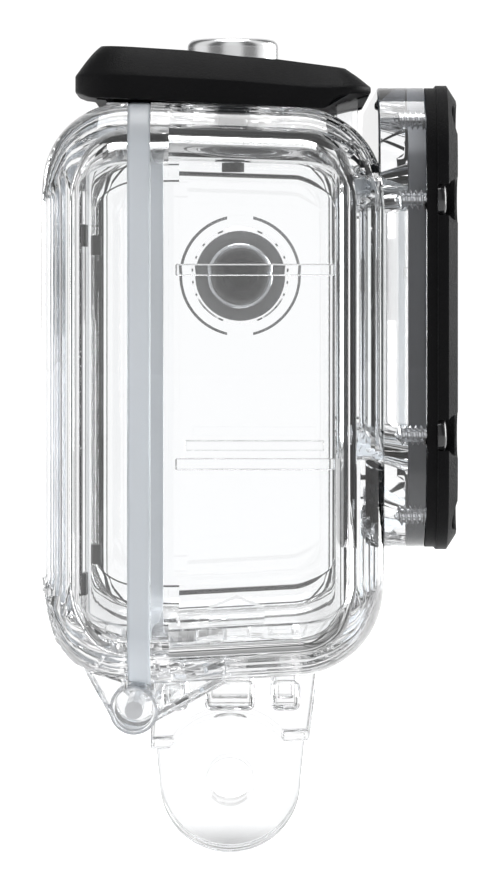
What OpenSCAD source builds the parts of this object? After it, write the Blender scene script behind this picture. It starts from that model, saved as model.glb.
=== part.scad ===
// Empty clear waterproof housing for a small action camera.
// Origin: centre of the mounting fingers' cross bore. +Z up, -Y front (window), +Y rear (door).

/* [Clear body] */
// Width of the body, side to side
body_w = 78; // [74:1:84]
// Height of the body without its foot
body_h = 58.5; // [56:0.5:64]
// Height of the body's underside above the cross bore
body_bottom_z = 12.7; // [12:0.1:14]
// Front face of the body
body_front_y = -15.6; // [-17:0.1:-15]
// Rear face of the body, which is the outside of the door
body_rear_y = 18.7; // [17:0.1:21]
// Corner radius seen from the front
front_corner_r = 5.5; // [4:0.5:9]
// Corner radius seen from the side
side_corner_r = 8.5; // [6:0.5:9]
// Radius of the upright edges
upright_edge_r = 2.8; // [2:0.1:4]
// Thickness of the side, front and rear walls
wall = 2.8; // [2.4:0.1:3.2]
// Thickness of the roof and floor
end_wall = 3.7; // [3:0.1:4]

/* [Door] */
// Where the shell's rear face meets the gasket
gasket_front_y = 7.8; // [6:0.1:9]
// Thickness of the gasket
gasket_t = 2.3; // [1.5:0.1:3]
// Height of the hinge pins above the cross bore
hinge_z = 10.2; // [10:0.1:10.4]
// Place of the hinge pins, front to rear
hinge_y = 9.5; // [9:0.1:10]
// Radius of the hinge knuckles
knuckle_r = 2.5; // [2.2:0.1:2.5]
// Radius of the hinge pins
hinge_pin_r = 0.9; // [0.7:0.05:1]

/* [Front window] */
// Width of the window flange and its bezel
flange_w = 73; // [70:1:76]
// Height of the window flange and its bezel
flange_h = 47.1; // [44:0.1:48]
// Centre of the flange above the cross bore
flange_z = 49.55; // [48:0.05:51]
// Corner radius of the flange and bezel
flange_r = 8; // [6:0.5:10]
// Rear face of the bezel
bezel_rear_y = -19.85; // [-21:0.05:-19]
// Thickness of the bezel
bezel_t = 3.15; // [2.5:0.05:4]
// Depth of the pocket that holds the seal and the window
pocket_d = 1.75; // [1.4:0.05:2]

/* [Latch] */
// Left end of the latch
latch_left_x = -35; // [-37:0.5:-30]
// Right end of the latch
latch_right_x = 8.5; // [6:0.5:9]
// Place of the latch pin, front to rear
latch_pin_y = -12; // [-12.5:0.1:-11.5]
// Height of the latch pin above the cross bore
latch_pin_z = 73.2; // [73:0.1:73.4]

/* [Buttons] */
// How far each button is pressed
button_travel = 1.5; // [1:0.1:1.6]
// Place of the shutter button, side to side
shutter_x = 17; // [16:0.5:20]
// Place of the shutter button, front to rear
shutter_y = -0.25; // [-1:0.05:1]
// Top of the shutter cap above the cross bore
shutter_top_z = 80.4; // [79:0.1:82]
// Place of the side button, front to rear
side_y = -1; // [-2:0.1:0]
// Height of the side button above the cross bore
side_z = 54.4; // [50:0.1:56]
// Outer face of the side cap
side_cap_x = 44.5; // [44:0.1:46]

/* [Mounting foot] */
// Radius of the cross bore for a 5 mm thumb screw
bore_r = 2.5; // [2.5:0.05:2.6]
// Round end of the fingers
finger_r = 7.5; // [7.4:0.05:7.6]
// Thickness of each finger
finger_t = 3; // [2.9:0.05:3]
// Gap between the two fingers
finger_gap = 3; // [3:0.05:3.2]

/* [Hidden] */
$fn = 64;

body_top_z = body_bottom_z + body_h;
body_mid_z = body_bottom_z + body_h / 2;
body_d = body_rear_y - body_front_y;
body_mid_y = (body_front_y + body_rear_y) / 2;
cavity_half_w = body_w / 2 - wall;
door_front_y = gasket_front_y + gasket_t;
gasket_relief = 0.05;
plate_front_y = bezel_rear_y + pocket_d;
bezel_front_y = bezel_rear_y - bezel_t;
reach = 100;

// Window
flange_overlap = 0.6;
port_w = 52;
port_h = 29;
port_r = 4;
seal_w = 65;
seal_h = 38.5;
seal_r = 7.5;
seal_rim = 2;
seal_floor_t = 0.4;
seal_lip = 3.5;
window_w = 54;
window_h = 31;
bezel_chamfer_w = 1.5;
bezel_chamfer_d = 0.95;
bezel_inset = 0.25;
bezel_inset_d = 1.1;

// Screws of the bezel
screw_r = 0.95;
screw_head_r = 1.75;
screw_head_t = 0.9;
screw_tip_y = -16.6;
screw_tip_h = 0.6;
counterbore_r = 2.1;
counterbore_mouth = 0.25;
counterbore_floor_y = bezel_rear_y - 1.05;
screw_side_x = 35.1;
screw_side_dz = 11.8;
screw_corner_x = 32.2;
screw_corner_dz = 19.3;
screw_row_x = 12;
screw_row_dz = 22.1;
screw_places = [
  for (sx = [-1, 1], sz = [-1, 1])
    each [
      [sx * screw_side_x, sz * screw_side_dz],
      [sx * screw_corner_x, sz * screw_corner_dz],
      [sx * screw_row_x, sz * screw_row_dz]
    ]
];

// Hinge
door_knuckle_x = [30.1, 36];
shell_knuckle_x = [14, 29.9];
knuckle_relief = 0.35;
hinge_fit = 0.05;
hinge_bore_x = 33;
hinge_bore_half = 4;

// Rubber pads glued inside the door, and its two catch posts under the latch
pad_x = 31.4;
pad_z = [22.7, 57.8];
pad_w = 3;
pad_t = 1.1;
pad_h = 2.2;
pad_glue_t = 0.05;
post_x = [-29, -12];
post_w = 4;
post_front_y = 11;
post_t = 1.4;
post_h = 1.6;

// Latch
latch_pin_r = 0.6;
latch_fit = 0.05;
ear_r = 1.05;
ear_gap = 0.15;
ear_w = 4;
ear_x = [-29, 0];
latch_shell_gap = 0.25;
latch_wall = 1.8;
// Only the finger tab at the latch's left end reaches past the door
latch_tab_x = -21;
latch_back_y = 13.9;
latch_back_wall = 1.2;

// Cup, cap and plunger that both buttons share
cup_r = 7;
cup_inner_r = 5.6;
cap_r = 5.05;
side_cap_r = 5.2;
cap_edge = 0.5;
bush_r = 1.9;
bush_head_r = 2.9;
bush_head_t = 0.6;
plunger_r = 0.95;
plunger_fit = 0.05;
groove_d = 0.4;
oring_wire_r = 0.2;
oring_gap = 0.02;
clip_r = 2;
clip_t = 0.5;
tip_r = 1.25;
tip_t = 1;
cap_roof_t = 2;
plunger_cover = 1.1;
spring_r = 3.5;
spring_wire_r = 0.3;
spring_turns = 4;
shutter_floor_z = body_top_z;
shutter_cup_top = body_top_z + 3.9;
shutter_cap_bottom = shutter_floor_z + button_travel + 0.5;
side_floor_x = body_w / 2;
side_cup_end = side_floor_x + 3;
side_cap_bottom = side_floor_x + button_travel + 0.3;
bush_inside = 0.2;

// Mounting foot
foot_half_w = 11;
foot_low_z = 4.1;
foot_front_y = 9.4;
foot_front_slope = 1.2;
foot_rear_y = 8.4;
foot_rear_slope = 0.4;
arch_r = finger_r + 0.2;
finger_top_z = 9;
finger_top_half = 8.4;

module rounded(w, h, r) {
  union() {
    square([w - 2 * r, h], center = true);
    square([w, h - 2 * r], center = true);
    for (sx = [-1, 1], sy = [-1, 1])
      translate([sx * (w / 2 - r), sy * (h / 2 - r)])
        circle(r);
  }
}

// Extrudes an XZ outline from y0 to y1
module slab_y(y0, y1) {
  translate([0, y1, 0])
    rotate([90, 0, 0])
      linear_extrude(y1 - y0)
        children();
}

// Extrudes a YZ outline from x0 to x1
module slab_x(x0, x1) {
  translate([x0, 0, 0])
    rotate([90, 0, 90])
      linear_extrude(x1 - x0)
        children();
}

module rod_x(x0, x1, r, y, z) {
  translate([x0, y, z])
    rotate([0, 90, 0])
      cylinder(h = x1 - x0, r = r);
}

module rod_y(y0, y1, r, x, z) {
  translate([x, y1, z])
    rotate([90, 0, 0])
      cylinder(h = y1 - y0, r = r);
}

// The outer shape of shell, gasket and door together, made larger by grow on every side
module body_block(grow = 0) {
  w = body_w + 2 * grow;
  d = body_d + 2 * grow;
  h = body_h + 2 * grow;
  intersection() {
    translate([0, 0, body_mid_z])
      slab_y(-reach, reach)
        rounded(w, h, front_corner_r + grow);
    translate([0, body_mid_y, body_mid_z])
      slab_x(-reach, reach)
        rounded(d, h, side_corner_r + grow);
    translate([0, body_mid_y, 0])
      linear_extrude(reach)
        rounded(w, d, upright_edge_r + grow);
  }
}

// The hollow that holds the camera
module cavity_block() {
  w = body_w - 2 * wall;
  d = body_d - 2 * wall;
  h = body_h - 2 * end_wall;
  intersection() {
    translate([0, 0, body_mid_z])
      slab_y(-reach, reach)
        rounded(w, h, front_corner_r - wall);
    translate([0, body_mid_y, body_mid_z])
      slab_x(-reach, reach)
        rounded(d, h, side_corner_r - wall);
  }
}

// Everything between y0 and y1
module between_y(y0, y1) {
  translate([-reach / 2, y0, -reach / 2])
    cube([reach, y1 - y0, 2 * reach]);
}

module body_slice(y0, y1) {
  intersection() {
    body_block();
    between_y(y0, y1);
  }
}

module flange_outline(inset = 0) {
  translate([0, flange_z])
    rounded(flange_w - 2 * inset, flange_h - 2 * inset, flange_r - inset);
}

module screw_holes(y0, y1, r) {
  for (p = screw_places)
    rod_y(y0, y1, r, p[0], flange_z + p[1]);
}

// Moves what is drawn about the Z axis, outer end up, onto the shutter button's axis
module along_shutter() {
  translate([shutter_x, shutter_y, 0])
    children();
}

// The same for the side button, whose outer end points to +X
module along_side() {
  translate([0, side_y, side_z])
    rotate([0, 90, 0])
      children();
}

module ring(h0, h1, r_in, r_out) {
  translate([0, 0, h0])
    difference() {
      cylinder(h = h1 - h0, r = r_out);
      translate([0, 0, -1])
        cylinder(h = h1 - h0 + 2, r = r_in);
    }
}

module ribs() {
  rib_d = 1.5;
  rib_t = 1.2;
  rib_z = [54.3, 34.9];
  rib_y0 = -10.6;
  rib_y1 = 5.3;
  for (z = rib_z)
    translate([-cavity_half_w - 0.5, rib_y0, z - rib_t / 2])
      cube([rib_d + 0.5, rib_y1 - rib_y0, rib_t]);
  translate([cavity_half_w - rib_d, rib_y0, rib_z[1] - rib_t / 2])
    cube([rib_d + 0.5, rib_y1 - rib_y0, rib_t]);
}

module floor_lug() {
  floor_z = body_bottom_z + end_wall;
  slab_x(-3, 3)
    polygon([
      [-3.7, floor_z - 0.5], [2.3, floor_z - 0.5], [2.3, floor_z + 2],
      [-0.7, floor_z + 3.2], [-3.7, floor_z + 2]
    ]);
}

module shell_knuckles() {
  for (s = [0, 1])
    mirror([s, 0, 0]) {
      rod_x(shell_knuckle_x[0], shell_knuckle_x[1], knuckle_r, hinge_y, hinge_z);
      slab_x(shell_knuckle_x[0], shell_knuckle_x[1])
        polygon([
          [gasket_front_y, body_bottom_z + 1], [0, body_bottom_z + 1], [0, body_bottom_z - 0.1],
          [hinge_y - 1, hinge_z - 2.2], [hinge_y - 0.5, hinge_z], [gasket_front_y, hinge_z + 1]
        ]);
    }
}

module latch_ears() {
  for (x = ear_x) {
    rod_x(x - ear_w / 2, x + ear_w / 2, ear_r, latch_pin_y, latch_pin_z);
    translate([x - ear_w / 2, latch_pin_y - ear_r, body_top_z - 4])
      cube([ear_w, 2 * ear_r, latch_pin_z - body_top_z + 4]);
  }
}

module front_shell() {
  color([0.9, 0.93, 0.95, 0.35])
    difference() {
      union() {
        body_slice(-reach, gasket_front_y);
        slab_y(bezel_rear_y, body_front_y + flange_overlap)
          flange_outline(0.2);
        shell_knuckles();
        latch_ears();
        along_shutter()
          translate([0, 0, body_top_z - 2])
            cylinder(h = shutter_cup_top - body_top_z + 2, r = cup_r);
        along_side()
          translate([0, 0, side_floor_x - 2])
            cylinder(h = side_cup_end - side_floor_x + 2, r = cup_r);
      }
      difference() {
        cavity_block();
        ribs();
        floor_lug();
      }
      translate([0, 0, flange_z])
        slab_y(-reach, 0)
          rounded(port_w, port_h, port_r);
      translate([0, 0, flange_z])
        slab_y(-reach, plate_front_y)
          rounded(seal_w, seal_h, seal_r);
      screw_holes(-reach, screw_tip_y, screw_r);
      for (s = [-1, 1])
        rod_x(s * 22 - 10, s * 22 + 10, hinge_pin_r, hinge_y, hinge_z);
      rod_x(-reach, reach / 2, latch_pin_r, latch_pin_y, latch_pin_z);
      along_shutter() {
        translate([0, 0, body_mid_z])
          cylinder(h = reach, r = bush_r);
        translate([0, 0, shutter_floor_z])
          cylinder(h = reach, r = cup_inner_r);
      }
      along_side() {
        cylinder(h = reach, r = bush_r);
        translate([0, 0, side_floor_x])
          cylinder(h = reach, r = cup_inner_r);
      }
    }
}

module mount_foot() {
  color([0.93, 0.95, 0.96, 0.35])
    difference() {
      union() {
        difference() {
          slab_x(-foot_half_w, foot_half_w)
            polygon([
              [-foot_front_y + foot_front_slope, foot_low_z], [foot_rear_y, foot_low_z],
              [foot_rear_y - foot_rear_slope, body_bottom_z], [-foot_front_y, body_bottom_z]
            ]);
          rod_x(-reach, reach, arch_r, 0, 0);
        }
        for (s = [-1, 1])
          translate([s * (finger_gap + finger_t) / 2, 0, 0])
            slab_x(-finger_t / 2, finger_t / 2)
              union() {
                circle(finger_r);
                polygon([
                  [-finger_r, 0], [finger_r, 0],
                  [finger_top_half, finger_top_z], [-finger_top_half, finger_top_z]
                ]);
              }
      }
      rod_x(-reach, reach, bore_r, 0, 0);
    }
}

module port_seal() {
  color([0.36, 0.38, 0.4])
    translate([0, 0, flange_z])
      difference() {
        slab_y(bezel_rear_y, plate_front_y)
          rounded(seal_w, seal_h, seal_r);
        slab_y(-reach, plate_front_y - seal_floor_t)
          rounded(seal_w - 2 * seal_rim, seal_h - 2 * seal_rim, seal_r - seal_rim);
        slab_y(-reach, 0)
          rounded(seal_w - 2 * seal_lip, seal_h - 2 * seal_lip, seal_r - seal_lip);
      }
}

module port_glass() {
  color([0.8, 0.88, 0.9, 0.4])
    translate([0, 0, flange_z])
      slab_y(bezel_rear_y, plate_front_y - seal_floor_t)
        rounded(seal_w - 2 * seal_rim, seal_h - 2 * seal_rim, seal_r - seal_rim);
}

// The bezel's rounded outline with its front edge chamfered, built from a cross of two slabs and four cones
module bezel_blank() {
  mid_y = bezel_rear_y - bezel_inset_d;
  chamfer_y = bezel_front_y + bezel_chamfer_d;
  straight_w = flange_w / 2 - flange_r;
  straight_h = flange_h / 2 - flange_r;
  slab_y(mid_y, bezel_rear_y)
    flange_outline(bezel_inset);
  slab_y(chamfer_y, mid_y)
    flange_outline();
  translate([0, 0, flange_z]) {
    slab_x(-straight_w, straight_w)
      polygon([
        [chamfer_y, -flange_h / 2], [chamfer_y, flange_h / 2],
        [bezel_front_y, flange_h / 2 - bezel_chamfer_w], [bezel_front_y, -flange_h / 2 + bezel_chamfer_w]
      ]);
    translate([0, 0, -straight_h])
      linear_extrude(2 * straight_h)
        polygon([
          [-flange_w / 2, chamfer_y], [flange_w / 2, chamfer_y],
          [flange_w / 2 - bezel_chamfer_w, bezel_front_y], [-flange_w / 2 + bezel_chamfer_w, bezel_front_y]
        ]);
    for (sx = [-1, 1], sz = [-1, 1])
      translate([sx * straight_w, chamfer_y, sz * straight_h])
        rotate([90, 0, 0])
          cylinder(h = bezel_chamfer_d, r1 = flange_r, r2 = flange_r - bezel_chamfer_w);
  }
}

module front_bezel() {
  color([0.07, 0.07, 0.08])
    difference() {
      bezel_blank();
      translate([0, 0, flange_z])
        slab_y(-reach, 0)
          rounded(window_w, window_h, port_r);
      screw_holes(-reach, 0, screw_r);
      screw_holes(-reach, counterbore_floor_y, counterbore_r);
      for (p = screw_places)
        translate([p[0], bezel_front_y + counterbore_mouth, flange_z + p[1]])
          rotate([90, 0, 0])
            cylinder(h = 2 * counterbore_mouth,
              r1 = counterbore_r, r2 = counterbore_r + 2 * counterbore_mouth);
    }
}

module bezel_screws() {
  head_y = counterbore_floor_y - screw_head_t;
  color([0.75, 0.76, 0.78])
    for (p = screw_places)
      translate([p[0], 0, flange_z + p[1]])
        difference() {
          union() {
            rod_y(counterbore_floor_y, screw_tip_y - screw_tip_h, screw_r, 0, 0);
            rod_y(head_y, counterbore_floor_y, screw_head_r, 0, 0);
            translate([0, screw_tip_y, 0])
              rotate([90, 0, 0])
                cylinder(h = screw_tip_h, r1 = screw_r / 2, r2 = screw_r);
          }
          translate([0, head_y, 0])
            rotate([90, 0, 0]) {
              cube([2.2, 0.5, 1], center = true);
              cube([0.5, 2.2, 1], center = true);
            }
        }
}

module hinge_pins() {
  color([0.75, 0.76, 0.78])
    for (s = [-1, 1])
      rod_x(s > 0 ? shell_knuckle_x[0] : -door_knuckle_x[1], s > 0 ? door_knuckle_x[1] : -shell_knuckle_x[0],
        hinge_pin_r, hinge_y, hinge_z);
}

module latch_pin() {
  color([0.75, 0.76, 0.78])
    rod_x(latch_left_x + 2, latch_right_x - 2, latch_pin_r, latch_pin_y, latch_pin_z);
}

module rear_door() {
  arm_top_z = body_bottom_z + 6;
  color([0.9, 0.93, 0.95, 0.35])
    difference() {
      union() {
        body_slice(door_front_y, reach);
        for (s = [0, 1])
          mirror([s, 0, 0]) {
            rod_x(door_knuckle_x[0], door_knuckle_x[1], knuckle_r, hinge_y, hinge_z);
            slab_x(door_knuckle_x[0], door_knuckle_x[1])
              polygon([
                [hinge_y + 0.3, hinge_z - knuckle_r + 0.02], [hinge_y + 1.8, hinge_z - knuckle_r + 0.8],
                [15.7, body_bottom_z + 3.6], [15.7, arm_top_z], [door_front_y, arm_top_z],
                [door_front_y, hinge_z]
              ]);
          }
        for (x = post_x)
          translate([x - post_w / 2, post_front_y, body_top_z + 0.1 - post_h])
            cube([post_w, post_t, post_h]);
      }
      cavity_block();
      pad_blocks(pad_glue_t);
      for (s = [-1, 1]) {
        rod_x(s * hinge_bore_x - hinge_bore_half, s * hinge_bore_x + hinge_bore_half,
          hinge_pin_r + hinge_fit, hinge_y, hinge_z);
        rod_x(s * 21.95 - 8.15, s * 21.95 + 8.15, knuckle_r + knuckle_relief, hinge_y, hinge_z);
      }
    }
}

module door_gasket() {
  color([0.74, 0.78, 0.82])
    difference() {
      body_slice(gasket_front_y + gasket_relief, door_front_y);
      cavity_block();
      for (s = [-1, 1])
        rod_x(s * 25 - 11.2, s * 25 + 11.2, knuckle_r + knuckle_relief, hinge_y, hinge_z);
    }
}

// The four pads, or the shallow seats cut for them when grow is the glue's thickness
module pad_blocks(grow = 0) {
  size = [pad_w + 2 * grow, pad_t + grow, pad_h + 2 * grow];
  for (sx = [-1, 1], z = pad_z)
    translate([sx * pad_x - size[0] / 2, body_rear_y - wall - pad_t, z - size[2] / 2])
      cube(size);
}

module door_pads() {
  color([0.08, 0.08, 0.08])
    pad_blocks();
}

// Side profile of the latch, with its crease left to the finish
module latch_profile() {
  polygon([
    [15.6, 74], [15.5, 72.2], [13.9, 71.65], [12.6, 71.6], [0.9, 71], [-9, 70.5], [-9.7, 70.5],
    [-10.1, 71], [-10.9, 71.65], [-12.4, 72], [-14.3, 72], [-14.4, 72.6], [-12.4, 74.6],
    [-10.2, 74.9], [-4.9, 75.6], [0.9, 76], [4.1, 76.5], [12.3, 77.05], [13.1, 77]
  ]);
}

module latch_hollow() {
  polygon([
    [13.6, 60], [13.6, 74.2], [12, 75.3], [4, 74.8], [-5, 73.9], [-8, 73.4], [-8, 60]
  ]);
}

module latch_lever() {
  color([0.06, 0.06, 0.07])
    difference() {
      slab_x(latch_left_x, latch_right_x)
        latch_profile();
      difference() {
        slab_x(latch_left_x + latch_wall, latch_right_x - latch_wall)
          latch_hollow();
        translate([latch_tab_x - latch_wall, latch_back_y - latch_back_wall, 60])
          cube([reach, reach, reach]);
      }
      translate([latch_tab_x, latch_back_y, 60])
        cube([reach, reach, reach]);
      body_block(latch_shell_gap);
      for (x = ear_x)
        translate([x - ear_w / 2 - ear_gap, latch_pin_y - 5, 60])
          cube([ear_w + 2 * ear_gap, 5 + ear_r + ear_gap, latch_pin_z + ear_r + ear_gap - 60]);
      rod_x(latch_left_x + 2, latch_right_x - 2, latch_pin_r + latch_fit, latch_pin_y, latch_pin_z);
    }
}

// A bush with a head, pressed into a wall from outside: its bore guides the plunger
module bush(wall_inner, floor_h) {
  ring(wall_inner - bush_inside, floor_h, plunger_r + plunger_fit, bush_r);
  ring(floor_h, floor_h + bush_head_t, plunger_r + plunger_fit, bush_head_r);
}

module plunger(low, high, oring_h, clip_h) {
  groove_r = plunger_r - groove_d;
  groove_half = oring_wire_r + oring_gap;
  difference() {
    translate([0, 0, low])
      cylinder(h = high - low, r = plunger_r);
    for (h = oring_h)
      ring(h - groove_half, h + groove_half, groove_r, plunger_r + 1);
    ring(clip_h - clip_t / 2, clip_h + clip_t / 2, groove_r, plunger_r + 1);
  }
}

module orings(heights) {
  mid_r = plunger_r - groove_d + oring_wire_r + oring_gap;
  for (h = heights)
    translate([0, 0, h])
      rotate_extrude()
        translate([mid_r, 0])
          circle(oring_wire_r, $fn = 24);
}

// A cap hollow from below, with a boss that grips the plunger
module cap(low, high, r) {
  skirt_t = 0.9;
  boss_r = 1.9;
  boss_lift = 1.6;
  difference() {
    union() {
      translate([0, 0, low])
        cylinder(h = high - low - cap_edge, r = r);
      translate([0, 0, high - cap_edge])
        cylinder(h = cap_edge, r = r - cap_edge);
      translate([0, 0, high - cap_edge])
        rotate_extrude()
          translate([r - cap_edge, 0])
            circle(cap_edge);
    }
    ring(low - 1, high - cap_roof_t, boss_r, r - skirt_t);
    translate([0, 0, low - 1])
      cylinder(h = high - plunger_cover - low + 1, r = plunger_r);
    translate([0, 0, low - 1])
      cylinder(h = boss_lift + 1, r = boss_r + 1);
  }
}

module clip(h) {
  difference() {
    ring(h - clip_t / 2 + 0.05, h + clip_t / 2 - 0.05, plunger_r - groove_d, clip_r);
    translate([0, -0.5, h - 1])
      cube([clip_r + 1, 1, 2]);
  }
}

module tip(low, plunger_low) {
  difference() {
    translate([0, 0, low])
      cylinder(h = tip_t, r = tip_r);
    translate([0, 0, plunger_low])
      cylinder(h = tip_t, r = plunger_r);
  }
}

function spring_point(t, low, high) =
  [spring_r * cos(360 * spring_turns * t), spring_r * sin(360 * spring_turns * t), low + (high - low) * t];

// Round wire wound from low to high: one ring of sides every few degrees, closed at both ends
module spring(low, high) {
  sides = 8;
  steps = 24 * spring_turns;
  z0 = low + spring_wire_r + oring_gap;
  z1 = high - spring_wire_r - oring_gap;
  points = [
    for (i = [0:steps], j = [0:sides - 1])
      let (p = spring_point(i / steps, z0, z1), a = 360 * spring_turns * i / steps, b = 360 * j / sides)
        p + spring_wire_r * [cos(b) * cos(a), cos(b) * sin(a), sin(b)]
  ];
  walls = [
    for (i = [0:steps - 1], j = [0:sides - 1])
      let (k = (j + 1) % sides)
        [i * sides + j, i * sides + k, (i + 1) * sides + k, (i + 1) * sides + j]
  ];
  first = [for (j = [0:sides - 1]) sides - 1 - j];
  last = [for (j = [0:sides - 1]) steps * sides + j];
  polyhedron(points = points, faces = concat(walls, [first, last]));
}

shutter_wall_z = body_top_z - end_wall;
shutter_low_z = shutter_wall_z - 1.4;
shutter_clip_z = shutter_wall_z - bush_inside - clip_t / 2 - 0.02;
shutter_oring_z = [shutter_floor_z - 0.6, shutter_floor_z - 2.2];
side_wall_x = cavity_half_w;
side_low_x = side_wall_x - 1.4;
side_clip_x = side_wall_x - bush_inside - clip_t / 2 - 0.02;
side_oring_x = [side_floor_x - 0.5, side_floor_x - 1.6];

module shutter_bush() {
  color([0.25, 0.26, 0.28])
    along_shutter()
      bush(shutter_wall_z, shutter_floor_z);
}

module shutter_plunger() {
  color([0.7, 0.71, 0.73])
    along_shutter()
      plunger(shutter_low_z, shutter_top_z - plunger_cover, shutter_oring_z, shutter_clip_z);
}

module shutter_cap() {
  color([0.78, 0.79, 0.8])
    along_shutter()
      cap(shutter_cap_bottom, shutter_top_z, cap_r);
}

module shutter_spring() {
  color([0.7, 0.71, 0.73])
    along_shutter()
      spring(shutter_floor_z, shutter_top_z - cap_roof_t);
}

module shutter_orings() {
  color([0.1, 0.1, 0.1])
    along_shutter()
      orings(shutter_oring_z);
}

module shutter_clip() {
  color([0.6, 0.61, 0.63])
    along_shutter()
      clip(shutter_clip_z);
}

module shutter_tip() {
  color([0.12, 0.12, 0.13])
    along_shutter()
      tip(shutter_low_z - 0.4, shutter_low_z);
}

module side_bush() {
  color([0.25, 0.26, 0.28])
    along_side()
      bush(side_wall_x, side_floor_x);
}

module side_plunger() {
  color([0.7, 0.71, 0.73])
    along_side()
      plunger(side_low_x, side_cap_x - plunger_cover, side_oring_x, side_clip_x);
}

module side_cap() {
  color([0.3, 0.31, 0.33])
    along_side()
      cap(side_cap_bottom, side_cap_x, side_cap_r);
}

module side_spring() {
  color([0.7, 0.71, 0.73])
    along_side()
      spring(side_floor_x, side_cap_x - cap_roof_t);
}

module side_orings() {
  color([0.1, 0.1, 0.1])
    along_side()
      orings(side_oring_x);
}

module side_clip() {
  color([0.6, 0.61, 0.63])
    along_side()
      clip(side_clip_x);
}

module side_tip() {
  color([0.12, 0.12, 0.13])
    along_side()
      tip(side_low_x - 0.4, side_low_x);
}

front_shell();
mount_foot();
port_seal();
port_glass();
front_bezel();
bezel_screws();
hinge_pins();
latch_pin();
rear_door();
door_gasket();
door_pads();
latch_lever();
shutter_bush();
shutter_plunger();
shutter_cap();
shutter_spring();
shutter_orings();
shutter_clip();
shutter_tip();
side_bush();
side_plunger();
side_cap();
side_spring();
side_orings();
side_clip();
side_tip();
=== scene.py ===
import math

import bmesh
import bpy
from mathutils import Matrix, Vector


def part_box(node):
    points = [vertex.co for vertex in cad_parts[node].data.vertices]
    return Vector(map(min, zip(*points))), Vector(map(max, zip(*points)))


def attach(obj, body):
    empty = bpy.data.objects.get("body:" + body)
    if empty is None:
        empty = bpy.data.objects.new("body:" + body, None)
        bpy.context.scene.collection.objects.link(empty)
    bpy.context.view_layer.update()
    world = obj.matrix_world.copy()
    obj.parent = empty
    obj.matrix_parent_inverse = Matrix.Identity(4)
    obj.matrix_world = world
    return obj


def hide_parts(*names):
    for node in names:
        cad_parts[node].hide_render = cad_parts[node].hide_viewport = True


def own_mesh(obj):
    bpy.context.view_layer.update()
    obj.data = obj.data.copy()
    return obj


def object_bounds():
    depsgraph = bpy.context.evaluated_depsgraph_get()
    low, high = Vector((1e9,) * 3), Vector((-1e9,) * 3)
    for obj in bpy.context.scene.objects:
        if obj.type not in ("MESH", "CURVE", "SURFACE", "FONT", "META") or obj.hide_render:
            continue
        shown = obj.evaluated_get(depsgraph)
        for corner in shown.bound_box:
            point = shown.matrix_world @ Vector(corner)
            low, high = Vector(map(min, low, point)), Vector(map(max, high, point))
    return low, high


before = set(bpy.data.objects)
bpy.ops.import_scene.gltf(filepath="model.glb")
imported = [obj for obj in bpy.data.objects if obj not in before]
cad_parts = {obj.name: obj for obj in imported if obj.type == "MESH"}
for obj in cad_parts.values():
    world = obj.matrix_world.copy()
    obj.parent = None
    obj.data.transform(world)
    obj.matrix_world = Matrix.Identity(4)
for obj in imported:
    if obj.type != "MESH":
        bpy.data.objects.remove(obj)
cad_low, cad_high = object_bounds()

# Lengths below are millimetres in the row's frame; finished meshes are scaled to metres.
MM = 0.001
TURN = 2 * math.pi


def cad_box(node):
    low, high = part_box(node)
    return low / MM, high / MM


# Places read from the frame
gasket_low, gasket_high = cad_box("door_gasket")
bezel_low, bezel_high = cad_box("front_bezel")
seal_low, seal_high = cad_box("port_seal")
glass_low, glass_high = cad_box("port_glass")
door_high = cad_box("rear_door")[1]
latch_low, latch_high = cad_box("latch_lever")
pin_low, pin_high = cad_box("hinge_pins")
latch_pin_low, latch_pin_high = cad_box("latch_pin")
shutter_low, shutter_high = cad_box("shutter_cap")
side_low, side_high = cad_box("side_cap")
shutter_spring_low, shutter_spring_high = cad_box("shutter_spring")
side_spring_low, side_spring_high = cad_box("side_spring")
pads_low, pads_high = cad_box("door_pads")

HALF_W = gasket_high.x
BODY_TOP = gasket_high.z
BODY_LOW = gasket_low.z
SHELL_REAR_Y = gasket_low.y - 0.05
DOOR_FRONT_Y = gasket_high.y
DOOR_REAR_Y = door_high.y
SHELL_FRONT_Y = -15.6
WALL = 2.8
END_WALL = 3.7
CORNER_R = 5.5
SIDE_R = 8.5
EDGE_R = 2.8
INNER_EDGE_R = 2.2
TOP_DRAFT = 0.034
LOW_DRAFT = 0.055

HINGE = Vector((0, (pin_low.y + pin_high.y) / 2, (pin_low.z + pin_high.z) / 2))
KNUCKLE_R = 2.5
LATCH_PIN = Vector((0, (latch_pin_low.y + latch_pin_high.y) / 2, (latch_pin_low.z + latch_pin_high.z) / 2))
SHUTTER = Vector(((shutter_low.x + shutter_high.x) / 2, (shutter_low.y + shutter_high.y) / 2, 0))
SIDE = Vector((0, (side_low.y + side_high.y) / 2, (side_low.z + side_high.z) / 2))
FLANGE_Z = (bezel_low.z + bezel_high.z) / 2
FLANGE_W = bezel_high.x
FLANGE_H = (bezel_high.z - bezel_low.z) / 2
FLANGE_R = 8.0
BODY_MID_Z = (BODY_TOP + BODY_LOW) / 2
BODY_HALF_H = (BODY_TOP - BODY_LOW) / 2
KNUCKLE_RELIEF = 0.35
SHELL_LUG_X = (14, 29.9)
DOOR_LUG_X = (30.1, 36)
EAR_X = (-29, 0)
EAR_R = 1.05
EAR_HALF_W = 2
CUP_R = 7.0
CUP_INNER_R = 5.6
SHUTTER_CUP_H = 3.9
SIDE_CUP_H = 3
BORE_R = 2.5
FINGER_R = 7.5


# ---------------------------------------------------------------- modelling helpers

def link(name, bm):
    """A temporary object in millimetres, with clean outward faces."""
    bmesh.ops.remove_doubles(bm, verts=bm.verts, dist=0.0005)
    bmesh.ops.recalc_face_normals(bm, faces=bm.faces)
    mesh = bpy.data.meshes.new(name)
    bm.to_mesh(mesh)
    bm.free()
    obj = bpy.data.objects.new(name, mesh)
    bpy.context.scene.collection.objects.link(obj)
    return obj


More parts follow.
